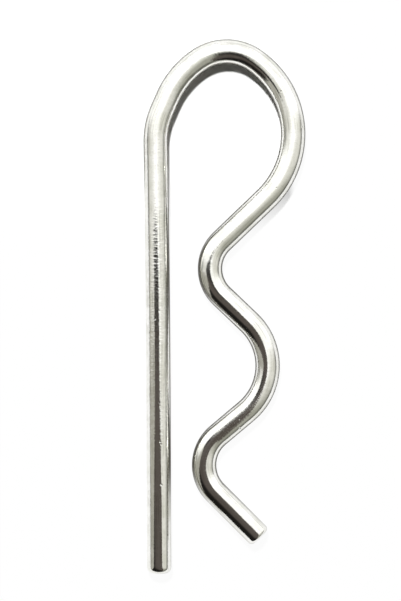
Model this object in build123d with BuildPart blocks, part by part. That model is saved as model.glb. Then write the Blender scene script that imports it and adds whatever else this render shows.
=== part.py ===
from build123d import *
import os
from math import cos, radians, sin

# Hitch R clip: one length of round spring wire, bent flat and lying on its side.
# The straight leg goes through a shaft's cross hole, and the wave leg snaps round the
# shaft. Sizes are in mm. +Y runs from the two free ends to the eye, +X from the
# straight leg to the wave leg, and +Z stands off the surface that the clip lies on.
# Bend radii are those of the wire's centreline, and gaps are clear of the wire.

wire_diameter = 3.0

leg_length = 24.0  # straight stretch of the leg, from its free end
lean_length = 29.2  # the leg's upper stretch, which leans slightly off the wave leg
lean_turn = 0.7  # degrees that it turns by
leg_end_round = 0.8  # rounding of the rim at the leg's free end

shoulder_radius = 9.6  # the leg's bend into the eye
shoulder_turn = 24.6
cheek_length = 1.7  # short straight between the shoulder and the eye

near_radius = 10.7  # the eye's side over the leg
near_turn = 33.8
crown_radius = 6.0  # the eye's top
crown_turn = 67.0
far_radius = 11.1  # the eye's side over the wave leg

upper_slant = 46.4  # degrees between the leg and the run from the eye to the upper waist
upper_waist_gap = 3.45  # from the straight leg to the upper waist
upper_waist_radius = 4.7

middle_slant = 46.0  # the run from the upper waist to the belly
belly_gap = 10.5  # from the straight leg to the belly, which takes the shaft
belly_radius = 7.4

lower_slant = 50.2  # the run from the belly to the lower waist
lower_waist_gap = 2.6  # from the straight leg to the lower waist
lower_waist_radius = 4.8

tail_slant = 44.7  # the lead-in, flared away from the leg
tail_length = 7.8
tail_end_round = 0.5  # rounding of the rim at the sheared tail

wire_radius = wire_diameter / 2


def run_length(start, gap, radius, slant):
    """Length of the slanting run from start that sets the next bend at its gap from the leg."""
    bend_reach = radius * (1 - cos(radians(slant)))
    across = abs(gap + wire_diameter - start.X)
    return (across - bend_reach) / sin(radians(slant))


# the wire's centreline, from the leg's free end round to the tail, with the leg on the Y axis
with BuildLine() as centreline:
    leg = Line((0, 0), (0, leg_length))
    lean = JernArc(leg @ 1, leg % 1, lean_length / radians(lean_turn), lean_turn)
    shoulder = JernArc(lean @ 1, lean % 1, shoulder_radius, -shoulder_turn)
    cheek = PolarLine(shoulder @ 1, cheek_length, direction=shoulder % 1)
    near_side = JernArc(cheek @ 1, cheek % 1, near_radius, -near_turn)
    crown = JernArc(near_side @ 1, near_side % 1, crown_radius, -crown_turn)
    turned = shoulder_turn + near_turn + crown_turn - lean_turn
    far_side = JernArc(crown @ 1, crown % 1, far_radius, -(180 + upper_slant - turned))

    upper_run = PolarLine(
        far_side @ 1,
        run_length(far_side @ 1, upper_waist_gap, upper_waist_radius, upper_slant),
        direction=far_side % 1,
    )
    upper_waist = JernArc(
        upper_run @ 1, upper_run % 1, upper_waist_radius, upper_slant + middle_slant
    )
    middle_run = PolarLine(
        upper_waist @ 1,
        run_length(upper_waist @ 1, belly_gap, belly_radius, middle_slant),
        direction=upper_waist % 1,
    )
    belly = JernArc(middle_run @ 1, middle_run % 1, belly_radius, -(middle_slant + lower_slant))
    lower_run = PolarLine(
        belly @ 1,
        run_length(belly @ 1, lower_waist_gap, lower_waist_radius, lower_slant),
        direction=belly % 1,
    )
    lower_waist = JernArc(
        lower_run @ 1, lower_run % 1, lower_waist_radius, lower_slant + tail_slant
    )
    tail = PolarLine(lower_waist @ 1, tail_length, direction=lower_waist % 1)

# The frame's origin is under the middle of the clip as it lies. The wire stands half its
# width beyond the centreline at the eye and at both sides, but not at the leg's square end.
route = centreline.wire()
reach = route.bounding_box()
middle_x = (reach.min.X + reach.max.X) / 2
middle_y = (reach.min.Y + reach.max.Y + wire_radius) / 2
leg_start = Vector(-middle_x, -middle_y, wire_radius)

with BuildPart() as clip_wire:
    with BuildSketch(Plane(leg_start, z_dir=(0, 1, 0))):
        Circle(wire_radius)
    sweep(path=route.moved(Location(leg_start)))
    leg_end, tail_end = clip_wire.faces().filter_by(GeomType.PLANE).sort_by(Axis.Y)
    fillet(leg_end.edges(), leg_end_round)
    fillet(tail_end.edges(), tail_end_round)

clip_wire.part.label = "clip_wire"

os.makedirs("parts", exist_ok=True)
export_step(clip_wire.part, "parts/clip_wire.step")

print("wire length", round(route.length, 2))
print("leg axis at x", round(leg_start.X, 3), "its free end at y", round(leg_start.Y, 3))
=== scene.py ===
import bpy
from math import sin, cos, pi, radians
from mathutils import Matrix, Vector


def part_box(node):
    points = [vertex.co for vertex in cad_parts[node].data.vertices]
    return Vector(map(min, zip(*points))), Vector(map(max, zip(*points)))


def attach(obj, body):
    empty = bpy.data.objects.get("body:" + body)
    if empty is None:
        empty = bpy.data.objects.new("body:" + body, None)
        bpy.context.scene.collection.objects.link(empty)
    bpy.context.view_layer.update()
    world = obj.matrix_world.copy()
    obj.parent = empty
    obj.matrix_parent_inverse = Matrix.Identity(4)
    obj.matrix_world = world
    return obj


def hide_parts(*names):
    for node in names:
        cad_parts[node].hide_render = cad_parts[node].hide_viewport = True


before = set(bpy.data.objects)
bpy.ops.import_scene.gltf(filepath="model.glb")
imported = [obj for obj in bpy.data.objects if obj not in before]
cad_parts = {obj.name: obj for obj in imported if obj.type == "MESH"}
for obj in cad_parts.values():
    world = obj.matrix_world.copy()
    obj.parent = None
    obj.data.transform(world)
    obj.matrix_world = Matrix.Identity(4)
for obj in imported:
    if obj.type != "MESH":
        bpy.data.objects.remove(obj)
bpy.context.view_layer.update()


class Sock:
    # one output socket, so that shader maths reads as plain Python
    def __init__(self, nodes, socket):
        self.nodes, self.socket = nodes, socket

    def math(self, operation, other=None, flipped=False):
        values = [other, self] if flipped else [self, other]
        return self.nodes.add("ShaderNodeMath", {"operation": operation}, values)

    def __add__(self, other): return self.math("ADD", other)
    def __radd__(self, other): return self.math("ADD", other)
    def __sub__(self, other): return self.math("SUBTRACT", other)
    def __rsub__(self, other): return self.math("SUBTRACT", other, flipped=True)
    def __mul__(self, other): return self.math("MULTIPLY", other)
    def __rmul__(self, other): return self.math("MULTIPLY", other)
    def __rtruediv__(self, other): return self.math("DIVIDE", other, flipped=True)
    def __pow__(self, other): return self.math("POWER", other)


class Nodes:
    # adds nodes of any kind: settings first, then the values or links of its sockets
    def __init__(self, tree):
        self.tree = tree

    def add(self, kind, settings=None, values=None, output=0):
        node = self.tree.nodes.new(kind)
        for name, value in (settings or {}).items():
            setattr(node, name, value)
        pairs = values.items() if isinstance(values, dict) else enumerate(values or [])
        for name, value in pairs:
            if isinstance(value, Sock):
                self.tree.links.new(value.socket, node.inputs[name])
            elif value is not None:
                node.inputs[name].default_value = value
        return Sock(self, node.outputs[output])

    def parts(self, vector):
        split = self.add("ShaderNodeSeparateXYZ", {}, {0: vector}).socket.node
        return [Sock(self, output) for output in split.outputs]

    def mix(self, mask, low, high):
        return self.add("ShaderNodeMix", {"data_type": "RGBA"}, {0: mask, 6: low, 7: high}, output=2)

    def soften(self, value, start, stop):
        # 0 at start, 1 at stop, eased at both
        return self.add("ShaderNodeMapRange", {"interpolation_type": "SMOOTHSTEP"},
                        {0: value, 1: start, 2: stop, 3: 0.0, 4: 1.0})

    def noise(self, where, scale, detail, roughness):
        return self.add("ShaderNodeTexNoise", {},
                        {"Vector": where, "Scale": scale, "Detail": detail, "Roughness": roughness})

    def ray(self, name):
        return Sock(self, self.add("ShaderNodeLightPath").socket.node.outputs[name])

    def out(self, kind, name, shader):
        node = self.tree.nodes.new(kind)
        self.tree.links.new(shader.socket, node.inputs[name])


def newMaterial(name):
    material = bpy.data.materials.new(name)
    material.use_nodes = True
    material.node_tree.nodes.clear()
    return material, Nodes(material.node_tree)


def addObject(name, data):
    made = bpy.data.objects.new(name, data)
    bpy.context.scene.collection.objects.link(made)
    return made


clipWire = {
    "wireWidth": 3.0,       # mm, all sizes here
    "legLength": 24.0,
    "leanLength": 29.2,
    "leanTurn": 0.7,        # degrees
    "shoulderRadius": 9.6,
    "shoulderTurn": 24.6,
    "cheekLength": 1.7,
    "nearRadius": 10.7,
    "nearTurn": 33.8,
    "crownRadius": 6.0,
    "crownTurn": 67.0,
    "farRadius": 11.1,
    "upperSlant": 46.4,
    "upperWaistGap": 3.45,
    "upperWaistRadius": 4.7,
    "middleSlant": 46.0,
    "bellyGap": 10.5,
    "bellyRadius": 7.4,
    "lowerSlant": 50.2,
    "lowerWaistGap": 2.6,
    "lowerWaistRadius": 4.8,
    "tailSlant": 44.7,
    "tailLength": 7.8,
    "legEndRound": 0.8,     # rim rounding at the leg's free end
    "tailEndRound": 0.5,    # and at the sheared tail
    "step": 0.18,           # between rings along the wire
    "sides": 72,            # points round each ring
}


def wireCourse(size):
    # lines and arcs of the centreline, from the leg's free end to the tail, leg on the Y axis
    course = []
    spot = {"at": Vector((0.0, 0.0)), "heading": pi / 2}

    def ahead():
        return Vector((cos(spot["heading"]), sin(spot["heading"])))

    def run(length):
        course.append(("run", spot["at"].copy(), spot["heading"], length))
        spot["at"] = spot["at"] + ahead() * length

    def bend(radius, turn):
        turn = radians(turn)
        side = 1 if turn > 0 else -1
        start = spot["heading"]
        hub = spot["at"] + Vector((-sin(start), cos(start))) * radius * side
        course.append(("bend", hub, start, radius * abs(turn), radius, side))
        spot["heading"] = start + turn
        spot["at"] = hub - Vector((-sin(start + turn), cos(start + turn))) * radius * side

    def slantRun(gap, radius, slant):
        reach = radius * (1 - cos(radians(slant)))
        across = abs(gap + size["wireWidth"] - spot["at"].x)
        run((across - reach) / sin(radians(slant)))

    run(size["legLength"])
    bend(size["leanLength"] / radians(size["leanTurn"]), size["leanTurn"])
    bend(size["shoulderRadius"], -size["shoulderTurn"])
    run(size["cheekLength"])
    bend(size["nearRadius"], -size["nearTurn"])
    bend(size["crownRadius"], -size["crownTurn"])
    turned = size["shoulderTurn"] + size["nearTurn"] + size["crownTurn"] - size["leanTurn"]
    bend(size["farRadius"], -(180 + size["upperSlant"] - turned))
    slantRun(size["upperWaistGap"], size["upperWaistRadius"], size["upperSlant"])
    bend(size["upperWaistRadius"], size["upperSlant"] + size["middleSlant"])
    slantRun(size["bellyGap"], size["bellyRadius"], size["middleSlant"])
    bend(size["bellyRadius"], -(size["middleSlant"] + size["lowerSlant"]))
    slantRun(size["lowerWaistGap"], size["lowerWaistRadius"], size["lowerSlant"])
    bend(size["lowerWaistRadius"], size["lowerSlant"] + size["tailSlant"])
    run(size["tailLength"])
    return course


def coursePoint(course, distance):
    for piece in course:
        length = piece[3]
        if distance <= length or piece is course[-1]:
            break
        distance -= length
    if piece[0] == "run":
        return piece[1] + Vector((cos(piece[2]), sin(piece[2]))) * distance
    hub, start, radius, side = piece[1], piece[2], piece[4], piece[5]
    heading = start + side * distance / radius
    return hub - Vector((-sin(heading), cos(heading))) * radius * side


def ringStations(size, length):
    # distance along the wire and ring radius, with both ends rounded and closed to a point
    half = size["wireWidth"] / 2
    stations = []
    for place, rim in (("leg", size["legEndRound"]), ("tail", size["tailEndRound"])):
        flat = half - rim
        # the flat's three rings stand a hair apart, so that the path keeps its direction
        end = [(0.0, 0.0002), (0.0015, flat * 0.5), (0.003, flat)]
        for k in range(1, 13):
            turn = k / 12 * pi / 2
            end.append((rim * (1 - cos(turn)), flat + rim * sin(turn)))
        stations.append(end if place == "leg" else [(length - s, r) for s, r in reversed(end)])
    first, last = stations[0][-1][0], stations[1][0][0]
    count = round((last - first) / size["step"])
    middle = [(first + (last - first) * k / count, half) for k in range(1, count)]
    return stations[0] + middle + stations[1]


def makeWireTree():
    tree = bpy.data.node_groups.new("bentWire", "GeometryNodeTree")
    for name, way, kind in (("Geometry", "INPUT", "Geometry"), ("Wire Width", "INPUT", "Float"),
                            ("Sides", "INPUT", "Int"), ("Finish", "INPUT", "Material"),
                            ("Geometry", "OUTPUT", "Geometry")):
        tree.interface.new_socket(name, in_out=way, socket_type="NodeSocket" + kind)
    n = Nodes(tree)
    inlet = tree.nodes.new("NodeGroupInput")
    given = {socket.name: Sock(n, socket) for socket in inlet.outputs if socket.name}

    def attribute(name):
        return n.add("GeometryNodeInputNamedAttribute", {"data_type": "FLOAT"}, {"Name": name})

    def carry(geometry, kind, name, value):
        # notes a value on a curve, for the skin swept from it
        geometry = n.add("GeometryNodeCaptureAttribute", {}, {"Geometry": geometry})
        capture = geometry.socket.node
        capture.capture_items.new(kind, name)
        tree.links.new(value.socket, capture.inputs[1])
        return geometry, Sock(n, capture.outputs[1])

    def store(geometry, kind, name, value):
        return n.add("GeometryNodeStoreNamedAttribute", {"data_type": kind, "domain": "POINT"},
                     {"Geometry": geometry, "Name": name, "Value": value})

    curve = n.add("GeometryNodeMeshToCurve", {}, {"Mesh": given["Geometry"]})
    curve = n.add("GeometryNodeSetCurveNormal", {"mode": "Z_UP"}, {"Curve": curve})
    curve, along = carry(curve, "FLOAT", "along", attribute("distance"))

    ring = n.add("GeometryNodeCurvePrimitiveCircle", {"mode": "RADIUS"},
                 {"Resolution": given["Sides"], "Radius": given["Wire Width"] * 0.5})
    spot = n.add("ShaderNodeVectorMath", {"operation": "SCALE"},
                 {0: n.add("GeometryNodeInputPosition"), "Scale": 2.0 / given["Wire Width"]})
    ring, around = carry(ring, "VECTOR", "around", spot)

    skin = n.add("GeometryNodeCurveToMesh", {}, {"Curve": curve, "Profile Curve": ring,
                                                 "Scale": attribute("ringShare"), "Fill Caps": True})
    skin = store(skin, "FLOAT", "along", along)
    skin = store(skin, "FLOAT_VECTOR", "around", around)
    skin = n.add("GeometryNodeSetShadeSmooth", {}, {"Geometry": skin})
    skin = n.add("GeometryNodeRealizeInstances", {}, {"Geometry": skin})
    skin = n.add("GeometryNodeSetMaterial", {}, {"Geometry": skin, "Material": given["Finish"]})
    n.out("NodeGroupOutput", "Geometry", skin)
    return tree


def makeClipWire(size, finish):
    course = wireCourse(size)
    length = sum(piece[3] for piece in course)
    stations = ringStations(size, length)
    half = size["wireWidth"] / 2

    # the centreline is laid into the CAD node's box: its low side and the leg's free end fix it
    low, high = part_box("clip_wire")
    flat = [coursePoint(course, s) for s, _ in stations]
    leftmost = min(p.x for p in flat)
    shift = Vector((low[0] * 1000 - leftmost + half, low[1] * 1000))
    middle = (low[2] + high[2]) * 500

    mesh = bpy.data.meshes.new("clipWirePath")
    points = [((p.x + shift.x) / 1000, (p.y + shift.y) / 1000, middle / 1000) for p in flat]
    mesh.from_pydata(points, [(k, k + 1) for k in range(len(points) - 1)], [])
    share = mesh.attributes.new("ringShare", "FLOAT", "POINT")
    distance = mesh.attributes.new("distance", "FLOAT", "POINT")
    share.data.foreach_set("value", [r / half for _, r in stations])
    distance.data.foreach_set("value", [s / 1000 for s, _ in stations])

    path = addObject("clipWirePath", mesh)
    tree = makeWireTree()
    modifier = path.modifiers.new("bentWire", "NODES")
    modifier.node_group = tree
    wanted = {"Wire Width": size["wireWidth"] / 1000, "Sides": size["sides"], "Finish": finish}
    for item in tree.interface.items_tree:
        if item.item_type == "SOCKET" and item.in_out == "INPUT" and item.name in wanted:
            modifier[item.identifier] = wanted[item.name]
    graph = bpy.context.evaluated_depsgraph_get()
    made = bpy.data.meshes.new_from_object(path.evaluated_get(graph), depsgraph=graph)
    path.modifiers.remove(modifier)
    bpy.data.objects.remove(path)

    made.name = "clipWireSkin"
    wire = addObject("springWire", made)
    print("wire made:", len(made.vertices), "points,", round(length, 2), "mm long")
    return wire


zincPlate = {
    "plate": (0.94, 0.935, 0.905, 1),
    "film": (0.85, 0.85, 0.79, 1),     # the passivated zinc's faint green cast
    "speckle": (0.55, 0.54, 0.50, 1),
    "streak": (0.46, 0.44, 0.42, 1),   # along the drawing lines
    "pit": (0.42, 0.42, 0.38, 1),
    "rough": 0.12,
    "roughSpread": 0.05,
    "dimplesPerMetre": 4200.0,
    "dimplesAcross": 2.6,              # per ring radius
    "dimpleDepth": 0.0065,             # mm
    "linesPerMetre": 160.0,
    "linesAcross": 9.0,
    "lineDepth": 0.0014,
    "cloudsPerMetre": 420.0,
    "grainPerMetre": 3200.0,
    "grainDepth": 0.001,
    "pitsPerMetre": 900.0,
    "pitPatchesPerMetre": 260.0,
    "pitDepth": 0.018,
    "scuffRise": (0.013, 0.017),       # along the wire, in metres
    "scuffFall": (0.047, 0.041),
    "scuffGain": 2.6,
}


def makeZincPlate(size):
    material, n = newMaterial("zincPlate")
    along = n.add("ShaderNodeAttribute", {"attribute_name": "along"}, output=2)
    around = n.add("ShaderNodeAttribute", {"attribute_name": "around"}, output=1)
    place = n.add("ShaderNodeTexCoord", output=3)

    # the wire's own coordinates: distance along it and the spot on its round section, which has no seam
    ringX, ringY = n.parts(around)[:2]

    def wireSpot(perMetre, across):
        return n.add("ShaderNodeCombineXYZ", {}, {0: along * perMetre, 1: ringX * across, 2: ringY * across})

    dimples = n.noise(wireSpot(size["dimplesPerMetre"], size["dimplesAcross"]), 1.0, 2.0, 0.5)
    lines = n.noise(wireSpot(size["linesPerMetre"], size["linesAcross"]), 1.0, 3.0, 0.6)
    cloud = n.noise(place, size["cloudsPerMetre"], 3.0, 0.55)
    grain = n.noise(place, size["grainPerMetre"], 2.0, 0.6)
    cells = n.add("ShaderNodeTexVoronoi", {"feature": "F1"}, {"Vector": place, "Scale": size["pitsPerMetre"]})
    patches = n.noise(place, size["pitPatchesPerMetre"], 1.0, 0.5)
    pits = n.soften(cells, 0.16, 0.05) * n.soften(patches, 0.52, 0.62)

    tint = n.mix(n.soften(cloud, 0.35, 0.68), size["plate"], size["film"])
    tint = n.mix(n.soften(grain, 0.45, 0.75) * 0.15, tint, size["speckle"])
    tint = n.mix(n.soften(lines, 0.48, 0.66) * n.soften(cloud, 0.40, 0.56) * 0.42, tint, size["streak"])
    tint = n.mix(pits * 0.35, tint, size["pit"])
    rough = size["rough"] + size["roughSpread"] * (cloud - 0.5) * 2 + 0.10 * (grain - 0.5) + pits * 0.15

    # the die has scuffed the leg's upper stretch more than the rest
    scuff = n.soften(along, *size["scuffRise"]) * n.soften(along, *size["scuffFall"])
    height = (dimples - 0.5) * size["dimpleDepth"] * (1 + size["scuffGain"] * scuff)
    height = height + (lines - 0.5) * size["lineDepth"] + (grain - 0.5) * size["grainDepth"]
    height = height - pits * size["pitDepth"]
    bump = n.add("ShaderNodeBump", {}, {"Strength": 1.0, "Distance": 0.001, "Height": height})
    metal = n.add("ShaderNodeBsdfPrincipled", {}, {
        "Base Color": tint, "Metallic": 1.0, "Roughness": rough, "Normal": bump})
    n.out("ShaderNodeOutputMaterial", "Surface", metal)
    return material


studio = {
    "floorTint": (0.93, 0.93, 0.925, 1),
    "floorSize": 1.2,
    "paintedGlowShare": 0.96,                # painted light: how faint the paper's glow makes the shadows past these two fades
    "paintedGlowSouth": (0.022, 0.008),
    "paintedGlowEast": (0.0068, 0.0088),
    "paintedShadeReach": 0.0038,              # how near the wire the painted contact shade reaches in the paper as the metal mirrors it
    "paintedShadePower": 12.0,
    # painted contact shade: the dark the paper shows in the metal right by the wire
    "paintedContactShade": (0.10, 0.095, 0.085, 1),
    "clearWest": (-0.0080, -0.0092),
    "clearSouth": (0.019, 0.012),
    "tailFade": (-0.019, -0.027),
    "tailClear": 0.65,
    "ambient": 0.02,                   # the room's share of the floor's light
    "keyPlace": (-0.126, 0.548, 1.06),
    "keySize": 0.12,
    "keyPower": 17.5,
    "northWhite": (1.25, 1.25, 1.24, 1),
    "eastPale": (0.78, 0.775, 0.72, 1),
    "westPale": (0.76, 0.755, 0.71, 1),
    "southEast": (0.39, 0.39, 0.34, 1),
    "southWest": (0.035, 0.032, 0.028, 1),
    "lowDark": (0.02, 0.02, 0.018, 1),
    "overhead": (0.095, 0.081, 0.072, 1),
    "overheadFar": (0.012, 0.011, 0.010, 1),
    "overheadNorth": (0.030, 0.028, 0.026, 1),
    "westCard": (0.44, 0.43, 0.385, 1),
    "overheadHeight": 0.060,
    "overheadOutline": [(-50, 5), (-30, 11), (-8, 11), (4, 2), (3, -9), (12, -17), (21, -28),
                        (27, -43), (40, -61), (110, -300), (150, -700), (-900, -700),
                        (-330, -232), (-130, -75), (-80, -36), (-55, -19), (-42, -9)],   # mm
    "westOutline": [(-42, -9), (-50, 5), (-700, 0), (-900, -700), (-330, -232),
                    (-130, -75), (-80, -36), (-55, -19)],
    "sensor": 36.0,                    # mm
    "viewHeight": 0.07422,             # of the scene, at the wire's mid height
    "wireMiddle": 0.0015,
    "cameraPlace": (-0.00305, 0.00072, 0.42),
    "cameraTurn": -0.28,
}


def showing(n):
    # rays that see the floor or the room straight on or in the metal
    straight = n.ray("Is Camera Ray")
    return straight.math("MAXIMUM", n.ray("Is Glossy Ray")).math("MAXIMUM", n.ray("Is Transmission Ray"))


def glow(n, colour):
    return n.add("ShaderNodeEmission", {}, {"Color": colour, "Strength": 1.0})


def makeFloor(size):
    half = size["floorSize"] / 2
    mesh = bpy.data.meshes.new("floor")
    corners = [(-half, -half, 0), (half, -half, 0), (half, half, 0), (-half, half, 0)]
    mesh.from_pydata(corners, [], [(0, 1, 2, 3)])
    floor = addObject("floor", mesh)
    material, n = newMaterial("whitePaper")
    paper = n.add("ShaderNodeBsdfPrincipled", {},
                  {"Base Color": size["floorTint"], "Roughness": 0.9, "Specular IOR Level": 0.1})
    # painted light: the paper glows a little outside the bow and towards the free ends, which makes its
    # shadows faint there
    x, y = n.parts(n.add("ShaderNodeTexCoord", output=3))[:2]
    faint = n.soften(y, *size["paintedGlowSouth"]).math("MAXIMUM", n.soften(x, *size["paintedGlowEast"]))
    paintedGlow = size["paintedGlowShare"] * faint * showing(n)
    seen = n.add("ShaderNodeMixShader", {}, {0: paintedGlow, 1: paper, 2: glow(n, (1, 1, 1, 1))})
    # painted contact shade: in the metal the paper shows darker where the wire crowds it, but for west of the
    # leg and round the tail
    near = n.add("ShaderNodeAmbientOcclusion", {"samples": 6}, {"Distance": size["paintedShadeReach"]}, output=1)
    clear = n.soften(x, *size["clearWest"]) * n.soften(y, *size["clearSouth"])
    tail = size["tailClear"] * n.soften(y, *size["tailFade"])
    paintedShadeMask = (1.0 - near ** size["paintedShadePower"]) * (1.0 - clear) * (1.0 - tail)
    shown = n.add("ShaderNodeMixShader", {},
                  {0: paintedShadeMask * n.ray("Is Glossy Ray"), 1: seen, 2: glow(n, size["paintedContactShade"])})
    n.out("ShaderNodeOutputMaterial", "Surface", shown)
    mesh.materials.append(material)


def makeRoom(size):
    # what the bright wire mirrors: a white north, pale sides, a dark south-west
    world = bpy.data.worlds.new("room")
    world.use_nodes = True
    world.node_tree.nodes.clear()
    n = Nodes(world.node_tree)
    x, y, z = n.parts(n.add("ShaderNodeTexCoord"))
    north = n.soften(y - 0.35 * x.math("ABSOLUTE"), -0.26, 0.05)
    east = n.soften(x + 0.25 * y, -0.02, 0.08)
    eastSide = n.mix(n.soften(y, -0.55, -0.12), size["southEast"], size["eastPale"])
    westSide = n.mix(n.soften(y - 0.45 * x, -0.32, -0.06), size["southWest"], size["westPale"])
    sides = n.mix(east, westSide, eastSide)
    # darker low down
    sides = n.mix(n.soften(z, 0.05, 0.50), n.mix(0.72, sides, size["lowDark"]), sides)
    room = n.mix(north, sides, size["northWhite"])
    # a dark thing high up in the south, which the crown's inner side shows
    high = n.soften(y, 0.06, -0.01) * n.soften(x, 0.02, -0.01) * n.soften(x - 0.8 * y, -0.02, 0.05)
    room = n.mix(high * n.soften(z, 0.80, 0.90), room, size["overheadNorth"])
    room = n.mix(n.soften(z, 0.0, 0.07), n.mix(0.75, room, size["lowDark"]), room)
    room = n.mix(n.ray("Is Camera Ray"), room, (1, 1, 1, 1))
    shown = n.add("ShaderNodeBackground", {}, {"Color": room, "Strength": 1.0})
    plain = n.add("ShaderNodeBackground", {}, {"Color": (1, 1, 1, 1), "Strength": size["ambient"]})
    n.out("ShaderNodeOutputWorld", "Surface",
          n.add("ShaderNodeMixShader", {}, {0: showing(n), 1: plain, 2: shown}))
    bpy.context.scene.world = world


def makeCard(name, outline, height, shade):
    # a flat shape over the clip that only the metal shows, outline in mm
    mesh = bpy.data.meshes.new(name)
    mesh.from_pydata([(x / 1000, y / 1000, height) for x, y in outline], [], [tuple(range(len(outline)))])
    card = addObject(name, mesh)
    material, n = newMaterial(name + "Shade")
    across, up = n.parts(n.add("ShaderNodeTexCoord", output=3))[:2]
    n.out("ShaderNodeOutputMaterial", "Surface", glow(n, shade(n, across, up)))
    mesh.materials.append(material)
    card.visible_camera = False
    card.visible_diffuse = False
    card.visible_shadow = False


def makeOverhead(size):
    # the dark shape over the free ends that makes the metal's dark stripe, and the grey one west of it
    def darkShade(n, x, y):
        deep = n.mix(n.soften(x + y, -0.060, -0.125), size["overhead"], size["overheadFar"])
        return n.mix(n.soften(y, -0.010, 0.002), deep, size["overheadNorth"])

    def westShade(n, x, y):
        return n.mix(n.soften(y, -0.006, 0.001), size["westCard"], size["westPale"])

    height = size["overheadHeight"]
    makeCard("overheadDark", size["overheadOutline"], height, darkShade)
    makeCard("overheadWest", size["westOutline"], height + 0.0005, westShade)


def makeKeyLight(size):
    data = bpy.data.lights.new("headLight", "AREA")
    data.shape = "SQUARE"
    data.size = size["keySize"]
    data.energy = size["keyPower"]
    lamp = addObject("headLight", data)
    lamp.location = size["keyPlace"]
    lamp.rotation_euler = (-Vector(size["keyPlace"])).to_track_quat("-Z", "Y").to_euler()


def makeCamera(size):
    data = bpy.data.cameras.new("camera")
    camera = addObject("camera", data)
    data.sensor_width = size["sensor"]
    data.lens = size["sensor"] * (size["cameraPlace"][2] - size["wireMiddle"]) / size["viewHeight"]
    data.clip_start = 0.01
    data.clip_end = 10
    camera.location = size["cameraPlace"]
    camera.rotation_euler = (0, 0, radians(size["cameraTurn"]))
    bpy.context.scene.camera = camera


finish = makeZincPlate(zincPlate)
wire = makeClipWire(clipWire, finish)
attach(wire, "root")
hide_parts("clip_wire")
print("wire placed")

makeFloor(studio)
makeRoom(studio)
makeOverhead(studio)
makeKeyLight(studio)
makeCamera(studio)
bpy.context.scene.view_settings.view_transform = "Standard"
print("studio set")
